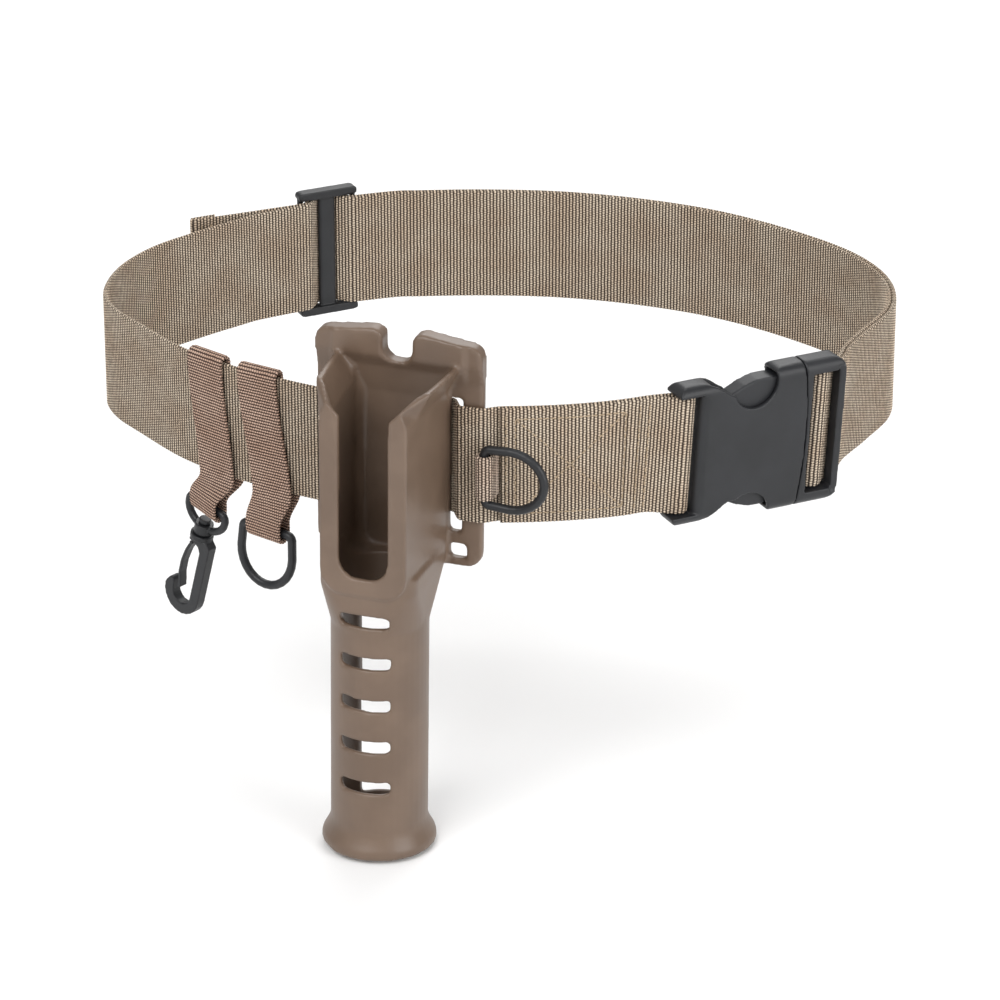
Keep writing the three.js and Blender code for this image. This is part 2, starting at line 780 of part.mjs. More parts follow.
function socketBody() {
  const bar = socketBarAlong;
  const left = bar - hornReach;
  const corners = roundedBox(left, socketLong, -hornHalfTall, hornHalfTall, hornReach - 0.5, 5)
    .filter(([x]) => x < bar);
  const block = buckleBlock([...jointEdge(socketLong), ...corners]);
  const inner = buckleHalfThick - socketWall;
  const innerTall = buckleHalfTall - socketWall - 0.5;
  const through = buckleHalfThick + 1;
  const nose = uprightSlab(
    outlineOf(roundedBox(socketStart, socketStart + 20, -buckleHalfThick, buckleHalfThick, socketEdge, 5)),
    -strapHole - 1, strapHole + 1);
  const opening = box(left - 1, socketStart + socketEdge, -through, through, -strapHole, strapHole);
  const grooveOut = buckleHalfThick + grooveRound - grooveDeep;
  const grooveTall = webWide / 2;
  const cutters = [
    opening.subtract(nose),
    box(socketStart + socketWall * 2, socketLong + 1, -inner, inner, -innerTall, innerTall),
    scallopCut(1, scallopTopDeep),
    scallopCut(-1, scallopLowDeep),
    post(grooveRound, -grooveTall, grooveTall, groovePlace, -grooveOut, 16),
  ];
  return cutAll(block, cutters).add(post(socketBar, -strapHole - 1, strapHole + 1, bar, 0, 20));
}

// A prong of the plug, from its root to its tip inside the socket, at the upper or lower side
function prongOutline(side) {
  const root = plugStart + 1;
  const rows = [
    [root, 27.2], [37.5, 27.3], [33, 27.7], [28, 27.5], [22.5, 25.8], [16.7, 23], [13.4, 20.4],
    [12.3, 18.4], [13.6, 16.3], [19, 14.8], [36, 14.6], [root, 14.6],
  ];
  const points = rows.map(([x, z]) => [x, z * side]);
  return side > 0 ? points.reverse() : points;
}

function plugBody() {
  const end = plugStart + plugLong;
  const corners = roundedBox(plugStart, end, -buckleHalfTall, buckleHalfTall, plugCorner, 5)
    .filter(([x]) => x > plugStart + plugCorner + 0.1);
  const block = buckleBlock([...corners, ...jointEdge(plugStart).reverse()]);
  const holeEnd = end - 2 * endBar;
  const through = buckleHalfThick + 1;
  const cutters = [
    box(plugStart + plugBase, holeEnd, -through, through, -strapHole, strapHole),
    box(holeEnd - 1, end + 1, endBar / 2, through, -strapHole, strapHole),
    box(holeEnd - 1, end + 1, -through, -buckleHalfThick + 1, -strapHole - 2, strapHole + 2),
  ];
  const innerThick = buckleHalfThick - socketWall - clear;
  const prongs = [1, -1].map((side) => frontSlab(outlineOf(prongOutline(side)), -innerThick, innerThick));
  const bar = post(plugBar, -strapHole - 1, strapHole + 1, plugBarAlong, 0, 20);
  return joinAll([cutAll(block, cutters), bar, ...prongs]);
}

function skewed(body) {
  return body.transform([1, 0, 0, 0, 0, 1, 0, 0, buckleSkew, 0, 1, 0, 0, 0, 0, 1]);
}

const buckleGroup = buckleFrame.group();
buckleGroup.add(
  placed('buckle_socket', skewed(socketBody()), finish.black),
  placed('buckle_plug', skewed(plugBody()), finish.black),
);

// Slide adjuster

function adjusterBody() {
  const half = adjusterWide / 2;
  const holeTall = webWide / 2 + 0.6;
  const rod = (x0, x1) => {
    const round = adjusterThick / 2 - 0.01;
    const section = roundedBox(x0, x1, -adjusterThick / 2, adjusterThick / 2, round, 5);
    return uprightSlab(outlineOf(section), -holeTall - 1, holeTall + 1);
  };
  const cap = (side) => {
    const [low, high] = side > 0 ? [holeTall, adjusterTall / 2] : [-adjusterTall / 2, -holeTall];
    return frontSlab(outlineOf(roundedBox(-half, half, low, high, 0.48 * (high - low), 4)),
      -adjusterCapThick / 2, adjusterCapThick / 2);
  };
  return joinAll([
    cap(1), cap(-1),
    rod(-half, -half + adjusterThick), rod(half - adjusterThick, half),
    rod(-adjusterMidBar / 2, adjusterMidBar / 2),
  ]);
}

const adjusterGroup = adjusterFrame.group();
adjusterGroup.add(placed('slide_adjuster', adjusterBody(), finish.black));

// Rings: a straight bar at the top, and a bow that hangs below it; the bar's middle is the origin

function bowLine({ barHalf, half, long, corner, bowStart }) {
  const right = [];
  for (let i = 0; i <= 3; i += 1) {
    const angle = (90 - 27 * i) * deg;
    right.push([barHalf - corner + corner * Math.cos(angle), -corner + corner * Math.sin(angle)]);
  }
  const bow = [];
  for (let i = 0; i <= 14; i += 1) {
    const angle = Math.PI * i / 14;
    bow.push([half * Math.cos(angle), -bowStart - (long - bowStart) * Math.sin(angle)]);
  }
  const left = right.map(([x, z]) => [-x, z]).reverse();
  return [...right, ...bow, ...left].map(([x, z]) => new THREE.Vector2(x, z));
}

function hoop(line, wire, sides = 10) {
  const { left, right } = bandSides(line, 2, true);
  return closedTube(line.map((middle, i) => {
    const across = right[i].clone().sub(left[i]).multiplyScalar(0.5);
    const ring = [];
    for (let k = 0; k < sides; k += 1) {
      const angle = 2 * Math.PI * (k + 0.5) / sides;
      const reach = across.clone().multiplyScalar(wire * Math.cos(angle));
      ring.push(new THREE.Vector3(middle.x + reach.x, wire * Math.sin(angle), middle.y + reach.y));
    }
    return ring;
  }));
}

// A body through rings of points, where the last ring joins the first one again
function closedTube(rings) {
  const sides = rings[0].length;
  const points = rings.flat();
  const faces = [];
  rings.forEach((ring, r) => {
    const next = (r + 1) % rings.length;
    for (let k = 0; k < sides; k += 1) {
      const along = (k + 1) % sides;
      const [a, b, c, d] = [r * sides + k, r * sides + along, next * sides + along, next * sides + k];
      faces.push([a, b, c], [a, c, d]);
    }
  });
  if (volumeOf(points, faces) < 0) {
    faces.forEach((face) => face.reverse());
  }
  const geometry = new THREE.BufferGeometry();
  const places = new Float32Array(points.flatMap((p) => [p.x, p.y, p.z]));
  geometry.setAttribute('position', new THREE.BufferAttribute(places, 3));
  geometry.setIndex(faces.flat());
  return geometry;
}

const ringLine = bowLine({
  barHalf: ringHalfWide - 0.5, half: ringHalfWide, long: ringLong, corner: 2.3, bowStart: ringLong * 0.42,
});

// Hanging loops: a flat band round the belt and round the bar below it

function hangerGeometry({ wire, drop, lean, sway, shift, taper }) {
  const top = webThick / 2 + hangerClear + narrowThick / 2;
  const low = wire + clear + 0.6 + narrowThick / 2;
  const line = [];
  for (let i = 0; i <= 6; i += 1) {
    const angle = Math.PI * i / 6;
    line.push(new THREE.Vector2(top * Math.cos(angle), webWide / 2 + top * Math.sin(angle)));
  }
  const legSteps = 7;
  for (let i = 1; i < legSteps; i += 1) {
    const share = i / legSteps;
    line.push(new THREE.Vector2(-top - (low - top) * share, webWide / 2 - (webWide / 2 + drop) * share));
  }
  for (let i = 0; i <= 8; i += 1) {
    const angle = Math.PI * (1 + i / 8);
    line.push(new THREE.Vector2(low * Math.cos(angle), -drop + low * Math.sin(angle)));
  }
  for (let i = legSteps - 1; i > 0; i -= 1) {
    const share = i / legSteps;
    line.push(new THREE.Vector2(top + (low - top) * share, webWide / 2 - (webWide / 2 + drop) * share));
  }
  const { left, right } = bandSides(line, narrowThick, true);
  const beltLow = -webWide / 2;
  const hung = (x, { x: out, y: z }) => {
    const share = THREE.MathUtils.smoothstep(beltLow - z, 0, drop + beltLow - low);
    const down = THREE.MathUtils.smoothstep(webWide / 2 - z, 0, webWide * 1.1);
    const drift = sway * down * (1 - share) + shift * share;
    return new THREE.Vector3(x * (1 - taper * share) + drift, -out, z - x * Math.tan(lean) * share);
  };
  const half = narrowWide / 2;
  return closedTube(line.map((_, i) => [
    hung(-half, left[i]), hung(half, left[i]), hung(half, right[i]), hung(-half, right[i]),
  ]));
}

// Swivel eye and hook hang along z from the middle of the eye's bar

const bossTop = -9.1;
const bossLow = bossTop - bossTall;
const collarTop = bossLow - clear;
const collarLow = collarTop - collarTall;

function eyeBody() {
  const line = bowLine({
    barHalf: eyeHalfWide, half: eyeHalfWide, long: -bossTop + bossTall / 2, corner: 2.5, bowStart: 3.2,
  });
  const boss = post(bossRound, bossLow, bossTop, 0, 0, 20);
  const pinHole = post(pinRound + clear, bossLow - 1, bossTop + 3, 0, 0, 20);
  return solid(hoop(line, eyeWire)).add(boss).subtract(pinHole);
}

const hookOffset = 0.7;

function hookBody() {
  const middle = { x: hookOffset - 3.2, z: collarLow - hookLong + hookBendOuter };
  const outer = [];
  const inner = [];
  for (let i = 0; i <= 12; i += 1) {
    const angle = -Math.PI * i / 12;
    outer.push([middle.x + hookBendOuter * Math.cos(angle), middle.z + hookBendOuter * Math.sin(angle)]);
    inner.push([middle.x + hookBendInner * Math.cos(angle), middle.z + hookBendInner * Math.sin(angle)]);
  }
  const outerSide = middle.x + hookBendOuter;
  const innerSide = middle.x + hookBendInner;
  const nose = [[-hookBendOuter + 0.4, 1.6], [-hookBendOuter + 1.8, 3.9], [-hookBendOuter + 3.2, 4.5],
    [-hookBendInner - 0.5, 3.6]].map(([x, z]) => [middle.x + x, middle.z + z]);
  const outline = [
    [-4.4, collarLow + 0.6], [4.4, collarLow + 0.6], [outerSide, collarLow - 2],
    ...outer, ...nose, ...inner.reverse(),
    [innerSide, collarLow - 6.5], [innerSide - 1.4, collarLow - 4.3], [-1.8, collarLow - 3.4],
    [-4.4, collarLow - 3],
  ];
  const frame = frontSlab(outlineOf(outline.reverse()), -hookThick / 2, hookThick / 2);
  const headLow = bossTop + clear;
  return joinAll([
    frame,
    post(collarRound, collarLow, collarTop, 0, 0, 24),
    post(pinRound, collarTop - 0.5, headLow + 0.5, 0, 0, 16),
    post(pinHeadRound, headLow, headLow + pinHeadTall, 0, 0, 16),
  ]);
}

const gatePivot = { x: hookOffset - 4, z: collarLow - 4.6 };

function gateBody() {
  const rows = [
    { along: 0, bow: 0 },
    { along: 0.2, bow: -0.07 },
    { along: 0.45, bow: -0.115 },
    { along: 0.7, bow: -0.115 },
    { along: 1, bow: -0.05 },
  ];
  const line = rows.map(({ along, bow }) => new THREE.Vector2(bow * gateLong, -along * gateLong));
  const { left, right } = bandSides(line, gateThick);
  const outline = new THREE.Shape([...right, ...left.reverse()]);
  return frontSlab(outline, -hookThick / 2 + 0.3, hookThick / 2 - 0.3)
    .add(frontKnuckle());
}

function frontKnuckle() {
  const geometry = new THREE.CylinderGeometry(0.95, 0.95, hookThick - 0.6, 12);
  return solid(geometry);
}

const leftCurve = new THREE.CatmullRomCurve3(
  stationPlaces(leftStations).map(({ x, y }) => new THREE.Vector3(x, y, 0)), false, 'centripetal');

function hangerFrame(share) {
  const place = leftCurve.getPointAt(share);
  const way = leftCurve.getTangentAt(share);
  return frameAt(place.x, place.y, Math.atan2(way.y, way.x));
}

const hookShift = -2.6;
const ringShift = 2.2;
const hookHangerShare = 0.8236;
const ringHangerShare = 0.9347;

const hookGroup = hangerFrame(hookHangerShare).group();
hookGroup.add(placed('hook_hanger_loop',
  hangerGeometry({ wire: eyeWire, drop: eyeDrop, lean: hookLean, sway: 6, shift: hookShift, taper: 0.26 }),
  finish.narrow));
const eye = placed('swivel_eye', eyeBody(), finish.black);
eye.position.set(hookShift, 0, -eyeDrop);
eye.rotation.y = hookLean;
const hook = placed('snap_hook', hookBody(), finish.black);
hook.position.copy(eye.position);
hook.rotation.y = hookLean;
const gate = placed('hook_gate', gateBody(), finish.black);
gate.position.set(gatePivot.x, 0, gatePivot.z);
const gateHolder = new THREE.Group();
gateHolder.position.copy(hook.position);
gateHolder.rotation.y = hookLean;
gateHolder.add(gate);
hookGroup.add(eye, hook, gateHolder);

const ringGroup = hangerFrame(ringHangerShare).group();
ringGroup.add(placed('ring_hanger_loop',
  hangerGeometry({ wire: ringWire, drop: ringDrop, lean: ringLean, sway: 7, shift: ringShift, taper: 0.12 }),
  finish.narrow));
const hangingRing = placed('hanging_ring', hoop(ringLine, ringWire), finish.black);
hangingRing.position.set(ringShift, 0, -ringDrop);
hangingRing.rotation.y = ringLean;
ringGroup.add(hangingRing);

// Side ring: its bar stands in a short tab that comes out from under the folded strap end

const foldEnd = stationPlaces(frontStations)[0];
const tabFrame = frameAt(foldEnd.x, foldEnd.y, 0);
const tabWrap = ringWire + clear + narrowThick / 2;
const plateLift = 2.6;
const ringBar = { along: -6.2, out: plateLift + webThick / 2 + clear + narrowThick / 2 + tabWrap };

function tabGeometry() {
  const legEnd = -clear - 0.9;
  const stops = [
    point(legEnd, -plateLift - narrowThick - layerGap),
    wrap({ x: ringBar.along, y: -ringBar.out }, tabWrap, 1),
    point(legEnd, -plateLift),
  ];
  return strapGeometry(route(stops), narrowThick, -narrowWide / 2 - sideTabDrop, narrowWide / 2 - sideTabDrop);
}

const tabGroup = tabFrame.group();
tabGroup.add(placed('side_ring_tab', tabGeometry(), finish.narrow));
const sideRing = placed('side_ring', hoop(ringLine, ringWire), finish.black);
sideRing.position.set(ringBar.along, -ringBar.out, -sideTabDrop);
sideRing.rotation.set(0, -Math.PI / 2, -sideRingTurn, 'ZYX');
tabGroup.add(sideRing);

const fightingBelt = new THREE.Group();
fightingBelt.add(belt, holderGroup, buckleGroup, adjusterGroup, hookGroup, ringGroup, tabGroup);

export default fightingBelt;
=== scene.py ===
"""How a fishing fighting belt looks: woven webbing, a satin moulded rod holder and black
moulded fittings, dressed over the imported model. Lengths are in millimetres until they are
handed to Blender, which works in metres."""
import json
import math

import bmesh
import bpy
import numpy as np
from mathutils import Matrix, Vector


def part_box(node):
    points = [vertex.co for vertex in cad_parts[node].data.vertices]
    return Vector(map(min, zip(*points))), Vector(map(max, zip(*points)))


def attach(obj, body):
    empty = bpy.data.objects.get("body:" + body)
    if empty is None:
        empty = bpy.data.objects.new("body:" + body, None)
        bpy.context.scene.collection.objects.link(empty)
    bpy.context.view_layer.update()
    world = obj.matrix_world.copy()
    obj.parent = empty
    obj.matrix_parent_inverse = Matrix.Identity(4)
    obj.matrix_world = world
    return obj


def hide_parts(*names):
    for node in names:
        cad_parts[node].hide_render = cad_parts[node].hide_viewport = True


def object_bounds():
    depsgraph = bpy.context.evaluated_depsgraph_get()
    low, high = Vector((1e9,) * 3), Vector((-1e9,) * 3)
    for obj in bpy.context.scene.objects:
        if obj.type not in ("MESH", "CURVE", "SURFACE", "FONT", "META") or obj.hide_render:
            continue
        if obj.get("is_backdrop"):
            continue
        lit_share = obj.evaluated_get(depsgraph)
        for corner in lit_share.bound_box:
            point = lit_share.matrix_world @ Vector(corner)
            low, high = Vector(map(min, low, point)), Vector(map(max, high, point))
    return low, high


MM = 0.001

# Webbing, as woven
BELT_WIDTH = 50.0
BELT_THICK = 1.7
BELT_RIB = 1.48
BELT_BEAD = 1.12
NARROW_WIDTH = 19.0
NARROW_THICK = 1.4
NARROW_RIB = 1.25
NARROW_BEAD = 1.15
RIB_RISE = 0.11

# How many points the straps' lines have to a rib
BELT_RIB_STEPS = 3
NARROW_RIB_STEPS = 4

# Hanging loops, as they hang in the part. The clear gaps are to the belt and to the bar below.
# On its way down a loop sways sideways, leans, shifts and grows narrower.
LOOP_CLEAR = 0.9
BAR_CLEAR = 0.9
EYE_DROP = 41.7
RING_DROP = 43.7
EYE_WIRE = 1.7
RING_WIRE = 1.9
EYE_LEAN = math.radians(16)
RING_LEAN = math.radians(4)
EYE_SHIFT = -2.6
RING_SHIFT = 2.2
EYE_SWAY = 6
RING_SWAY = 7
EYE_TAPER = 0.26
RING_TAPER = 0.12
SWAY_REACH = BELT_WIDTH * 1.1

# The belt's closed loop, half its width and half its depth
LOOP_HALF_WIDE = 167
LOOP_HALF_DEEP = 124

# The buckle stands a little askew in the strap, in the way that the CAD model gives it. Measured
# along it from its place, the skew starts, grows full, is last full and ends.
BUCKLE_PLACE = np.array([0.449 * LOOP_HALF_WIDE, -0.881 * LOOP_HALF_DEEP])
BUCKLE_TURN = math.radians(26)
BUCKLE_SKEW = math.tan(math.radians(3.6))
SKEW_START = -45
SKEW_FULL = -14
SKEW_LAST = 73
SKEW_END = 99

# Thread, and one stitch: places along it, with the thread's thickness there
THREAD = 0.26
THREAD_SIDES = 6
THREAD_PROUD = 0.25
STITCH_LONG = 2.2
STITCH_GAP = 0.8
STITCH_FORM = [(-0.5, 0.35), (-0.36, 0.9), (0, 1.15), (0.36, 0.9), (0.5, 0.35)]

# Sewing. Rows and the crossed box are measured back from the folded end, the hem from the cut end.
SEWN_INSET = 2.5
END_ROWS = (2.2, 55.5, 59.8)
BOX_FAR = 50
BOX_NEAR = 6
BOX_INSET = 2
BOX_STEPS = 4
HEM_MARK = 16.0
HEM_GAP = 4.2

# Black moulded pieces: node, piece, body, voxel, rounds of softening
BLACK_PIECES = [
    ("buckle_socket", "moulded_buckle_socket", "belt", 0.55, 4),
    ("buckle_plug", "moulded_buckle_plug", "belt", 0.55, 4),
    ("slide_adjuster", "moulded_adjuster", "belt", 0.4, 3),
    ("side_ring", "moulded_side_ring", "side_ring", 0.35, 6),
    ("hanging_ring", "moulded_hanging_ring", "hanging_ring", 0.35, 6),
    ("swivel_eye", "moulded_swivel_eye", "swivel_eye", 0.3, 4),
    ("snap_hook", "moulded_snap_hook", "snap_hook", 0.3, 4),
    ("hook_gate", "moulded_hook_gate", "hook_gate", 0.25, 3),
]

# The holder's voxel keeps it under 200,000 triangles
HOLDER_VOXEL = 0.88
HOLDER_ROUNDS = 9

# Each round of softening pulls a mesh in and lets it out again, so that it hardly shrinks
SOFTEN_IN = 0.5
SOFTEN_OUT = -0.48

# Slack when a strap's rim is looked for, and how far up a face has to look to be its lid
RIM_SLACK = 0.01
RIM_LEVEL = 0.9

# A smooth line's points between each two that are given. At a sharp corner the middle line of a
# strap lies in by at most 1 / LEAST_REACH times half the thickness.
FINE_STEPS = 16
LEAST_REACH = 0.4

# A hanging loop's points over the belt, down each side and round the bar
OVER_POINTS = 7
SIDE_POINTS = 9
FOOT_POINTS = 9

# Camera, fitted to the belt's edges in the photograph
CAMERA_PLACE = Vector((0, -1.859, 0.7725))
CAMERA_AIM = Vector((0, -0.156, 0))
CAMERA_LENS = 171.26
CAMERA_SENSOR = 36

# Studio, in metres: lamps by name, place, size and power
WORLD_STRENGTH = 0.5
LAMPS = [
    ("key", (-0.9, -1.5, 1.6), 1.5, 36),
    ("fill", (1.5, -1.3, 0.8), 1.4, 24),
    ("back", (0.2, 1.5, 1.4), 1.5, 22),
]
FLOOR_REACH = 4.0
FLOOR_GAP = 1.5 * MM
FLOOR_TONE = 0.9


def photo_camera():
    """The photograph's own view."""
    data = bpy.data.cameras.new("photo_camera")
    data.lens = CAMERA_LENS
    data.sensor_width = CAMERA_SENSOR
    camera = bpy.data.objects.new("photo_camera", data)
    camera.location = CAMERA_PLACE
    camera.rotation_euler = (CAMERA_AIM - CAMERA_PLACE).to_track_quat("-Z", "Y").to_euler()
    bpy.context.scene.collection.objects.link(camera)
    bpy.context.scene.camera = camera


class Sum:
    """A number that varies over a surface, written as arithmetic."""

    def __init__(self, finish, socket):
        self.finish = finish
        self.socket = socket

    def math(self, operation, *others):
        node = self.finish.node("ShaderNodeMath", {"operation": operation}, [self, *others])
        return Sum(self.finish, node.outputs[0])

    def turned(self, operation, other):
        node = self.finish.node("ShaderNodeMath", {"operation": operation}, [other, self])
        return Sum(self.finish, node.outputs[0])

    def __add__(self, other):
        return self.math("ADD", other)

    def __mul__(self, other):
        return self.math("MULTIPLY", other)

    def __sub__(self, other):
        return self.math("SUBTRACT", other)

    def __truediv__(self, other):
        return self.math("DIVIDE", other)

    def __pow__(self, other):
        return self.math("POWER", other)

    def __rsub__(self, other):
        return self.turned("SUBTRACT", other)

    __radd__ = __add__
    __rmul__ = __mul__

    def floor(self):
        return self.math("FLOOR")

    def wave(self):
        """1 where the number is whole, 0 half way between."""
        return (self * (2 * math.pi)).math("COSINE") * 0.5 + 0.5

    def band(self, low, high):
        node = self.finish.node(
            "ShaderNodeMapRange", {"interpolation_type": "SMOOTHSTEP"}, [self, low, high])
        return Sum(self.finish, node.outputs[0])


class Finish:
    """One material: its node tree and the shader that it feeds."""

    def __init__(self, name, roughness, specular=0.5):
        self.material = bpy.data.materials.new(name)
        self.material.use_nodes = True
        self.tree = self.material.node_tree
        self.shader = self.tree.nodes["Principled BSDF"]
        self.shader.inputs["Roughness"].default_value = roughness
        self.shader.inputs["Specular IOR Level"].default_value = specular

    def node(self, kind, settings=None, sockets=None):
        """A node of a kind: its settings first, then the values or links of its sockets."""
        made = self.tree.nodes.new(kind)
        for key, value in (settings or {}).items():
            setattr(made, key, value)
        given = sockets if isinstance(sockets, dict) else dict(enumerate(sockets or []))
        for key, value in given.items():
            socket = made.inputs[key]
            if isinstance(value, Sum):
                self.tree.links.new(value.socket, socket)
            elif isinstance(value, bpy.types.NodeSocket):
                self.tree.links.new(value, socket)
            else:
                socket.default_value = value
        return made

    def noise(self, vector, scale, detail=2.0):
        made = self.node("ShaderNodeTexNoise", {}, {"Vector": vector, "Scale": scale, "Detail": detail})
        return Sum(self, made.outputs["Fac"])

    def place(self):
        """The surface's own place, in millimetres, at rest."""
        made = self.node("ShaderNodeTexCoord")
        scaled = self.node(
            "ShaderNodeVectorMath", {"operation": "SCALE"}, {0: made.outputs["Object"], 3: 1 / MM})
        return scaled.outputs[0]

    def blend(self, amount, dark, light):
        """A colour from dark, where the amount is 0, to light, where it is 1."""
        made = self.node("ShaderNodeMix", {"data_type": "RGBA"}, {0: amount, 6: dark, 7: light})
        return made.outputs[2]

    def colour(self, socket):
        self.tree.links.new(socket, self.shader.inputs["Base Color"])

    def rough(self, amount):
        self.tree.links.new(amount.socket, self.shader.inputs["Roughness"])

    def bump(self, height, deep):
        """Relief from a height of 0 to 1, deep in millimetres."""
        made = self.node("ShaderNodeBump", {}, {"Strength": 1.0, "Distance": deep * MM, "Height": height})
        self.tree.links.new(made.outputs["Normal"], self.shader.inputs["Normal"])


def tint(red, green, blue):
    """A colour given as it looks on a screen, 0 to 255."""
    def linear(part):
        share = part / 255
        return share / 12.92 if share <= 0.04045 else ((share + 0.055) / 1.055) ** 2.4
    return (linear(red), linear(green), linear(blue), 1.0)


def woven_finish(name, rib, bead, painted_gap_shade, yarn_tint, worn_tint):
    """Ribs of yarn across the strap; each rib is a row of beads, half a bead on from the last. The dark
    colour in the gaps between them is painted shade.
    """
    finish = Finish(name, roughness=0.85, specular=0.25)
    weave = finish.node("ShaderNodeAttribute", {"attribute_name": "weave"})
    parts = finish.node("ShaderNodeSeparateXYZ", {}, [weave.outputs["Vector"]])
    # The ribs wander a little along the strap
    wander = finish.noise(weave.outputs["Vector"], 0.35) - 0.5
    along = Sum(finish, parts.outputs["X"]) / rib + wander * 0.35
    across = Sum(finish, parts.outputs["Y"]) / bead
    ribs = along.wave()
    beads = (across + (along + 0.5).floor() * 0.5).wave()
    # Fibres break up the yarn, and worn patches are lighter
    fibre = finish.noise(weave.outputs["Vector"], 2.6, detail=3.0)
    yarn = ribs ** 0.7 * (beads * 0.62 + 0.38)
    # High on the yarn the colour is the yarn's own; down in the gaps between ribs and beads it falls to the
    # dark gap colour, which is painted shade
    lit_share = (yarn * 0.9 + fibre * 0.5 - 0.16).band(0.12, 0.95)
    cloud = finish.noise(weave.outputs["Vector"], 0.06, detail=3.0).band(0.3, 0.7)
    light = finish.blend(cloud, yarn_tint, worn_tint)
    finish.colour(finish.blend(lit_share, painted_gap_shade, light))
    finish.bump(yarn + fibre * 0.3, 0.4)
    return finish.material


def moulded_finish(name, deep_tint, lit_tint, roughness, grain, specular=0.5):
    """Satin plastic: fine grain, faint flow clouds, and a slightly varied sheen."""
    finish = Finish(name, roughness=roughness, specular=specular)
    place = finish.place()
    cloud = finish.noise(place, 0.045, detail=3.0).band(0.3, 0.72)
    speck = finish.noise(place, 3.2, detail=2.0)
    finish.colour(finish.blend(cloud * 0.8 + speck * 0.2, deep_tint, lit_tint))
    finish.rough(cloud * 0.08 + speck * 0.07 + (roughness - 0.07))
    finish.bump(speck, grain)
    return finish.material


def thread_finish(name, thread_tint, lit_tint):
    """Twisted sewing thread."""
    finish = Finish(name, roughness=0.6, specular=0.3)
    place = finish.place()
    twist = finish.noise(place, 1.8, detail=2.0)
    finish.colour(finish.blend(twist, thread_tint, lit_tint))
    finish.bump(twist, 0.12)
    return finish.material


def new_piece(name, points, faces, body, material, weave=None):
    """A mesh piece, its points in millimetres in the part's frame, that rides on a body."""
    mesh = bpy.data.meshes.new(name)
    mesh.from_pydata((np.asarray(points) * MM).tolist(), [], faces)
    mesh.update()
    if weave is not None:
        layer = mesh.attributes.new("weave", "FLOAT_VECTOR", "POINT")
        layer.data.foreach_set("vector", np.asarray(weave, np.float32).ravel())
    made = bpy.data.objects.new(name, mesh)
    bpy.context.scene.collection.objects.link(made)
    mesh.materials.append(material)
    mesh.shade_smooth()
    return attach(made, body)


def unit(vectors):
    """The vectors, each with a length of one."""
    vectors = np.asarray(vectors, float)
    return vectors / np.linalg.norm(vectors, axis=-1, keepdims=True)


def even_line(points, step, closed=False):
    """A smooth line through the points, given again at even steps."""
    points = np.asarray(points, float)
    ring = np.vstack([points[-1:], points, points[:2]]) if closed else np.vstack(
        [2 * points[:1] - points[1:2], points, 2 * points[-1:] - points[-2:-1]])
    # A centripetal curve between the middle two of each four points
    fine = []
    for a, b, c, d in zip(ring[:-3], ring[1:-2], ring[2:-1], ring[3:]):
        spans = [np.linalg.norm(q - p) for p, q in ((a, b), (b, c), (c, d))]
        knots = np.cumsum([0] + [max(span, 1e-6) ** 0.5 for span in spans])
        t = np.linspace(knots[1], knots[2], FINE_STEPS, endpoint=False)[:, None]
        a1 = ((knots[1] - t) * a + t * b) / knots[1]
        a2 = ((knots[2] - t) * b + (t - knots[1]) * c) / (knots[2] - knots[1])
        a3 = ((knots[3] - t) * c + (t - knots[2]) * d) / (knots[3] - knots[2])
        b1 = ((knots[2] - t) * a1 + t * a2) / knots[2]
        b2 = ((knots[3] - t) * a2 + (t - knots[1]) * a3) / (knots[3] - knots[1])
        fine.append(((knots[2] - t) * b1 + (t - knots[1]) * b2) / (knots[2] - knots[1]))
    fine = np.vstack(fine + ([ring[1:2]] if closed else [points[-1:]]))
    gone = np.concatenate([[0], np.cumsum(np.linalg.norm(np.diff(fine, axis=0), axis=1))])
    count = max(4, round(gone[-1] / step))
    marks = np.linspace(0, gone[-1], count + 1)
    line = np.column_stack([np.interp(marks, gone, fine[:, k]) for k in range(fine.shape[1])])
    return (line[:-1], marks[:-1]) if closed else (line, marks)


def strap_outline(node):
    """The outline of a strap's top edge, in order, in millimetres."""
    shape = bmesh.new()
    shape.from_mesh(node.data)
    bmesh.ops.remove_doubles(shape, verts=shape.verts, dist=RIM_SLACK * MM)
    top = max(v.co.z for v in shape.verts)
    shape.normal_update()

    def on_rim(edge):
        level = all(abs(v.co.z - top) < RIM_SLACK * MM for v in edge.verts)
        caps = [f.normal.z > RIM_LEVEL for f in edge.link_faces]
        return level and len(caps) == 2 and caps[0] != caps[1]

    partners = {}
    for edge in filter(on_rim, shape.edges):
        a, b = edge.verts
        partners.setdefault(a, []).append(b)
        partners.setdefault(b, []).append(a)
    start = next(iter(partners))
    ring = [start]
    before, here = start, partners[start][0]
    for _ in range(len(partners) - 1):
        ring.append(here)
        onward = [v for v in partners[here] if v != before]
        before, here = here, onward[0]
    if here != start:
        raise ValueError("the strap's rim doesn't close")
    outline = np.array([(v.co.x, v.co.y) for v in ring]) / MM
    shape.free()
    after = np.roll(outline, -1, axis=0)
    area = np.sum(outline[:, 0] * after[:, 1] - after[:, 0] * outline[:, 1])
    return outline if area > 0 else outline[::-1]


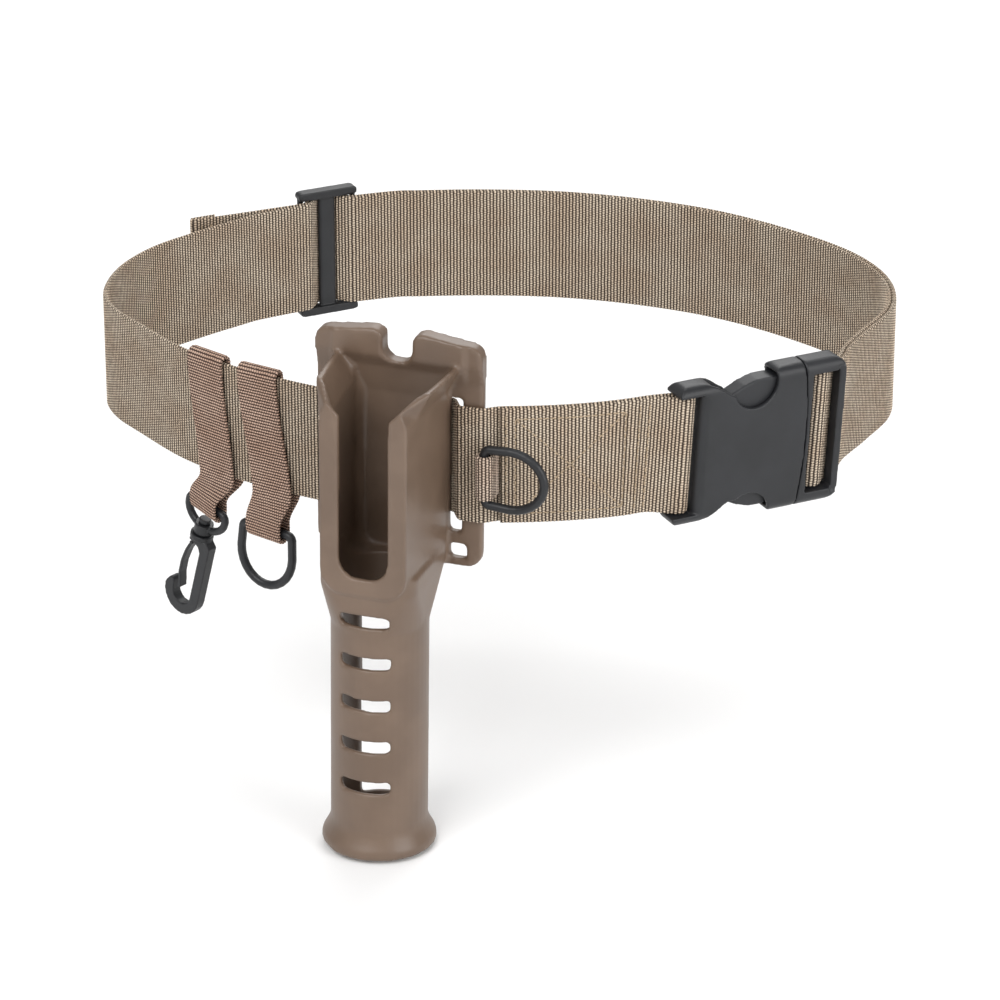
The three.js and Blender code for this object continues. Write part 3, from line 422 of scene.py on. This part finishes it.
def strap_middle(node, thick):
    """The middle line of a strap whose section along its length is a band of even thickness."""
    outline = strap_outline(node)
    back = unit(outline - np.roll(outline, 1, axis=0))
    ahead = unit(np.roll(outline, -1, axis=0) - outline)
    # The band's own four corners are its sharpest turns
    turn = np.arctan2(back[:, 0] * ahead[:, 1] - back[:, 1] * ahead[:, 0], np.sum(back * ahead, axis=1))
    corners = np.sort(np.argsort(turn)[-4:])
    count = len(outline)
    ends = [i for i in corners if (i + 1) % count in corners]
    first = (ends[0] + 1) % count
    last = ends[1]
    picked = [(first + k) % count for k in range((last - first) % count + 1)]
    side = outline[picked]
    way = np.vstack([ahead[picked[:1]], unit(back[picked[1:-1]] + ahead[picked[1:-1]]), back[picked[-1:]]])
    inward = np.column_stack([-way[:, 1], way[:, 0]])
    reach = np.ones(len(side))
    reach[1:-1] = 1 / np.maximum(np.sum(inward[1:-1] * np.column_stack(
        [-ahead[picked[1:-1], 1], ahead[picked[1:-1], 0]]), axis=1), LEAST_REACH)
    return side + inward * (reach * thick / 2)[:, None]


def strap_section(half_wide, half_thick):
    """Points round a strap's section: its two faces and its rounded edges."""
    flat = half_wide - half_thick
    spread = [-1, -0.5, 0, 0.5, 1]
    face = [(flat * s, half_thick) for s in spread]
    edge = [(flat + half_thick * math.cos(a), half_thick * math.sin(a))
            for a in (math.pi / 4, 0, -math.pi / 4)]
    turned = [(-a, -b) for a, b in face + edge]
    return np.array(face + edge + turned)


def strap_shape(line, marks, side, wide, thick, rib, closed=False):
    """Points, faces and weave places of a ribbed strap along a line; side is the way across it."""
    if closed:
        way = unit(np.roll(line, -1, axis=0) - np.roll(line, 1, axis=0))
    else:
        way = unit(np.gradient(line, axis=0))
    face = np.cross(side, way)
    section = strap_section(wide / 2, thick / 2)
    rise = 1 + RIB_RISE / (thick / 2) * np.cos(2 * math.pi * marks / rib)
    proud = section[None, :, :] * np.ones((len(line), 1, 1))
    proud[:, :, 1] *= rise[:, None]
    rim = np.sign(section[:, 0]) * (np.abs(section[:, 0]) > (wide - thick) / 2 + RIM_SLACK)
    proud[:, :, 0] += rim[None, :] * (rise[:, None] - 1) * thick / 2
    points = line[:, None, :] + proud[:, :, :1] * side[None, None, :] + proud[:, :, 1:] * face[:, None, :]
    count, around = len(line), len(section)
    weave = np.zeros((count, around, 3))
    weave[:, :, 0] = marks[:, None]
    weave[:, :, 1] = section[None, :, 0]
    faces = []
    for i in range(count if closed else count - 1):
        j = (i + 1) % count
        for k in range(around):
            m = (k + 1) % around
            faces.append((i * around + k, j * around + k, j * around + m, i * around + m))
    if not closed:
        faces.append(tuple(range(around)))
        faces.append(tuple(reversed(range((count - 1) * around, count * around))))
    return points.reshape(-1, 3), faces, weave.reshape(-1, 3)


def outward(points, faces):
    """The faces, turned if need be so that they look outward."""
    volume = 0.0
    for face in faces:
        a, b, c = (points[face[0]], points[face[1]], points[face[2]])
        volume += float(np.dot(a, np.cross(b, c)))
        if len(face) == 4:
            volume += float(np.dot(a, np.cross(c, points[face[3]])))
    return faces if volume > 0 else [tuple(reversed(face)) for face in faces]


UP = np.array([0.0, 0.0, 1.0])


def skewed(points, turn=1):
    """The points, moved along the buckle with their height; turn = -1 undoes it."""
    points = np.array(points, float)
    way = np.array([math.cos(BUCKLE_TURN), math.sin(BUCKLE_TURN)])
    along = (points[:, :2] - BUCKLE_PLACE) @ way
    rising = smoothstep(along, SKEW_START, SKEW_FULL)
    falling = smoothstep(along, SKEW_LAST, SKEW_END)
    share = rising * (1 - falling) * (points[:, 1] < 0)
    points[:, :2] += turn * BUCKLE_SKEW * (share * points[:, 2])[:, None] * way
    return points


def belt_strap(material):
    """The belt, woven along its own route; returns its middle line and the marks on it."""
    top = strap_middle(nodes["belt_webbing"], BELT_THICK)
    top = np.column_stack([top, np.full(len(top), BELT_WIDTH / 2)])
    line, marks = even_line(skewed(top, -1)[:, :2], BELT_RIB / BELT_RIB_STEPS)
    line = np.column_stack([line, np.zeros(len(line))])
    points, faces, weave = strap_shape(line, marks, UP, BELT_WIDTH, BELT_THICK, BELT_RIB)
    made = new_piece("woven_belt", skewed(points), outward(points, faces), "belt", material, weave)
    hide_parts("belt_webbing")
    return line, marks


def tab_strap(material):
    """The short tab that holds the side ring."""
    middle = strap_middle(nodes["side_ring_tab"], NARROW_THICK)
    low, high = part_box("side_ring_tab")
    height = (low.z + high.z) / 2 / MM
    line, marks = even_line(middle, NARROW_RIB / NARROW_RIB_STEPS)
    line = np.column_stack([line, np.full(len(line), height)])
    points, faces, weave = strap_shape(line, marks, UP, NARROW_WIDTH, NARROW_THICK, NARROW_RIB)
    made = new_piece("woven_side_tab", points, outward(points, faces), "belt", material, weave)
    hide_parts("side_ring_tab")


def smoothstep(value, low, high):
    """0 below low, 1 above high, and a smooth rise between them."""
    share = np.clip((value - low) / (high - low), 0, 1)
    return share * share * (3 - 2 * share)


def hanger_strap(name, node, joint, wire, drop, lean, shift, sway, taper, material):
    """A band that goes over the belt and under the bar of the ring that hangs in it."""
    place = np.array(joints[joint]["pos_m"]) / MM
    across = unit(np.array([joints[joint]["axis"][0], joints[joint]["axis"][1], 0.0]))
    back = np.cross(UP, across)
    top = BELT_THICK / 2 + LOOP_CLEAR + NARROW_THICK / 2
    low = wire + BAR_CLEAR + NARROW_THICK / 2
    half = BELT_WIDTH / 2
    over = np.linspace(0, math.pi, OVER_POINTS)
    outline = [(top * math.cos(a), half + top * math.sin(a)) for a in over]
    down = np.linspace(0, 1, SIDE_POINTS)[1:-1]
    outline += [(-top - (low - top) * s, half - (half + drop) * s) for s in down]
    under = np.linspace(math.pi, 2 * math.pi, FOOT_POINTS)
    outline += [(low * math.cos(a), -drop + low * math.sin(a)) for a in under]
    outline += [(low + (top - low) * s, -drop + (half + drop) * s) for s in down]
    line, marks = even_line(outline, NARROW_RIB / NARROW_RIB_STEPS, closed=True)
    line = np.column_stack([np.zeros(len(line)), line[:, 0], line[:, 1]])
    points, faces, weave = strap_shape(
        line, marks, np.array([1.0, 0, 0]), NARROW_WIDTH, NARROW_THICK, NARROW_RIB, closed=True)
    share = smoothstep(-half - points[:, 2], 0, drop - half - low)
    gone = smoothstep(half - points[:, 2], 0, SWAY_REACH)
    x = points[:, 0] * (1 - taper * share)
    height = points[:, 2] - x * math.tan(lean) * share
    x = x + sway * gone * (1 - share) + shift * share
    start = place - shift * across + drop * UP
    placed = start + x[:, None] * across + points[:, 1:2] * back + height[:, None] * UP
    made = new_piece(name, placed, outward(placed, faces), "belt", material, weave)
    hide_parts(node)


def moulded(node, name, body, voxel, rounds, material):
    """A moulded piece with the CAD solid's form and softened edges and facets."""
    source = nodes[node]
    mesh = source.data.copy()
    made = bpy.data.objects.new(name, mesh)
    bpy.context.scene.collection.objects.link(made)
    fill = made.modifiers.new("fill", "REMESH")
    fill.mode = "VOXEL"
    fill.voxel_size = voxel * MM
    graph = bpy.context.evaluated_depsgraph_get()
    finished = bpy.data.meshes.new_from_object(made.evaluated_get(graph))
    made.modifiers.clear()
    made.data = finished
    finished.name = name
    soften(finished, rounds)
    finished.materials.clear()
    finished.materials.append(material)
    finished.shade_smooth()
    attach(made, body)
    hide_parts(node)
    return made


def soften(mesh, rounds):
    """Relaxes a dense mesh, so that its edges round off and its facets fade."""
    count = len(mesh.vertices)
    places = np.zeros(count * 3)
    mesh.vertices.foreach_get("co", places)
    places = places.reshape(-1, 3)
    ends = np.zeros(len(mesh.edges) * 2, int)
    mesh.edges.foreach_get("vertices", ends)
    a, b = ends[0::2], ends[1::2]
    partners = np.bincount(a, minlength=count) + np.bincount(b, minlength=count)
    for strength in [SOFTEN_IN, SOFTEN_OUT] * rounds + [SOFTEN_IN]:
        pulled = np.zeros_like(places)
        for k in range(3):
            pulled[:, k] = np.bincount(a, places[b, k], count) + np.bincount(b, places[a, k], count)
        pulled /= partners[:, None]
        places += strength * (pulled - places)
    mesh.vertices.foreach_set("co", places.ravel())
    mesh.update()


def stitches(name, rows, body, material):
    """Rows of thread, each a list of (middle, way, outward) places in millimetres."""
    points, faces = [], []
    for middle, way, out in rows:
        side = np.cross(way, out)
        first = len(points)
        for along, thick in STITCH_FORM:
            for k in range(THREAD_SIDES):
                angle = 2 * math.pi * k / THREAD_SIDES
                points.append(middle + way * STITCH_LONG * along + thick * THREAD * (
                    side * math.cos(angle) + out * math.sin(angle)))
        last = first + (len(STITCH_FORM) - 1) * THREAD_SIDES
        for ring in range(first, last, THREAD_SIDES):
            for k in range(THREAD_SIDES):
                m = (k + 1) % THREAD_SIDES
                after = ring + THREAD_SIDES
                faces.append((ring + k, ring + m, after + m, after + k))
        faces.append(tuple(first + k for k in reversed(range(THREAD_SIDES))))
        faces.append(tuple(last + k for k in range(THREAD_SIDES)))
    points = skewed(points)
    made = new_piece(name, points, outward(points, faces), body, material)


def sewn_line(start, end, out):
    """Stitches on a straight line from start to end."""
    long = np.linalg.norm(end - start)
    count = max(1, round(long / (STITCH_LONG + STITCH_GAP)))
    way = (end - start) / long
    return [(start + (end - start) * (k + 0.5) / count, way, out) for k in range(count)]


def belt_sewing(line, marks, material):
    """The sewing on the folded end at the buckle, and on the tail's hem."""
    lift = BELT_THICK / 2 + RIB_RISE + THREAD * THREAD_PROUD
    flow = unit(np.gradient(line, axis=0))

    def on_face(mark, height, side):
        middle = np.array([np.interp(mark, marks, line[:, k]) for k in range(3)])
        way = unit([np.interp(mark, marks, flow[:, k]) for k in range(3)])
        out = np.cross(way, UP) * side
        return middle + out * lift + UP * height, out

    def sewn(first, last, side):
        start, out = on_face(*first, side)
        end, _ = on_face(*last, side)
        return sewn_line(start, end, out)

    rows = []
    top = BELT_WIDTH / 2 - SEWN_INSET
    end = marks[-1]
    for back in END_ROWS:
        rows += sewn((end - back, -top), (end - back, top), -1)
    # A box with a cross in it, sewn in short lengths because the strap bends
    low, high = end - BOX_FAR, end - BOX_NEAR
    tall = top - BOX_INSET
    for height in (-tall, tall):
        for step in range(BOX_STEPS):
            share = [low + (high - low) * k / BOX_STEPS for k in (step, step + 1)]
            rows += sewn((share[0], height), (share[1], height), -1)
    for mark in (low, high):
        rows += sewn((mark, -tall), (mark, tall), -1)
    for tilt in (1, -1):
        for step in range(BOX_STEPS):
            shares = [k / BOX_STEPS for k in (step, step + 1)]
            ends = [(low + (high - low) * s, tilt * tall * (2 * s - 1)) for s in shares]
            rows += sewn(*ends, -1)
    for mark in (HEM_MARK, HEM_MARK + HEM_GAP):
        rows += sewn((mark, -top), (mark, top), 1)
    stitches("belt_sewing", rows, "belt", material)


def studio():
    """Soft lamps, a pale world and a pale floor."""
    scene = bpy.context.scene
    scene.view_settings.view_transform = "Standard"
    world = bpy.data.worlds.new("studio")
    world.use_nodes = True
    world.node_tree.nodes["Background"].inputs["Color"].default_value = (1, 1, 1, 1)
    world.node_tree.nodes["Background"].inputs["Strength"].default_value = WORLD_STRENGTH
    scene.world = world
    for name, place, size, power in LAMPS:
        data = bpy.data.lights.new(name, "AREA")
        data.size = size
        data.energy = power
        lamp = bpy.data.objects.new(name, data)
        lamp.location = place
        lamp.rotation_euler = (-Vector(place)).to_track_quat("-Z", "Y").to_euler()
        scene.collection.objects.link(lamp)
    floor_finish = Finish("pale_floor", roughness=0.9)
    floor_finish.shader.inputs["Base Color"].default_value = (FLOOR_TONE, FLOOR_TONE, FLOOR_TONE, 1)
    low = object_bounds()[0][2]
    mesh = bpy.data.meshes.new("floor")
    corners = [(-1, -1), (1, -1), (1, 1), (-1, 1)]
    mesh.from_pydata([(x * FLOOR_REACH, y * FLOOR_REACH, 0) for x, y in corners], [], [(0, 1, 2, 3)])
    floor = bpy.data.objects.new("floor", mesh)
    floor.location.z = low - FLOOR_GAP
    mesh.materials.append(floor_finish.material)
    scene.collection.objects.link(floor)
    floor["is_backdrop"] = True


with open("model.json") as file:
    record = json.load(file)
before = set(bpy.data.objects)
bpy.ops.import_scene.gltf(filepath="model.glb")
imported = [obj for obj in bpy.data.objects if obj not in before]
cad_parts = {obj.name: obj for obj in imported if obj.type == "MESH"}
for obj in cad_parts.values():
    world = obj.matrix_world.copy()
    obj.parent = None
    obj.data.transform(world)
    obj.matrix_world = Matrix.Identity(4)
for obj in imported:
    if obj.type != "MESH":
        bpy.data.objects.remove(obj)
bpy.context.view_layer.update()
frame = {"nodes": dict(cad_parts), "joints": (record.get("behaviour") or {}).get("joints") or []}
nodes = frame["nodes"]
joints = {joint["name"]: joint for joint in frame["joints"]}

photo_camera()
studio()

# The first tint of each weave is painted shade for the gaps between its yarns
belt_weave = woven_finish(
    "belt_weave", BELT_RIB, BELT_BEAD, tint(44, 34, 27), tint(212, 190, 166), tint(226, 209, 187))
tab_weave = woven_finish(
    "tab_weave", NARROW_RIB, NARROW_BEAD, tint(50, 38, 30), tint(212, 188, 168), tint(224, 204, 186))
narrow_weave = woven_finish(
    "narrow_weave", NARROW_RIB, NARROW_BEAD, tint(52, 36, 29), tint(206, 171, 150), tint(222, 190, 170))
holder_plastic = moulded_finish("holder_plastic", tint(99, 81, 67), tint(112, 93, 78), 0.4, 0.02)
black_plastic = moulded_finish(
    "black_plastic", tint(27, 28, 30), tint(37, 38, 41), 0.42, 0.05, specular=0.4)
sewing_thread = thread_finish("sewing_thread", tint(120, 100, 80), tint(190, 170, 142))

belt_line, belt_marks = belt_strap(belt_weave)
belt_sewing(belt_line, belt_marks, sewing_thread)
tab_strap(tab_weave)
hanger_strap("woven_hook_hanger", "hook_hanger_loop", "swivel_eye_hinge", EYE_WIRE, EYE_DROP, EYE_LEAN,
             EYE_SHIFT, EYE_SWAY, EYE_TAPER, narrow_weave)
hanger_strap("woven_ring_hanger", "ring_hanger_loop", "hanging_ring_hinge", RING_WIRE, RING_DROP, RING_LEAN,
             RING_SHIFT, RING_SWAY, RING_TAPER, narrow_weave)

moulded("rod_holder", "moulded_rod_holder", "belt", HOLDER_VOXEL, HOLDER_ROUNDS,
        holder_plastic)
for node, name, body, voxel, rounds in BLACK_PIECES:
    moulded(node, name, body, voxel, rounds, black_plastic)
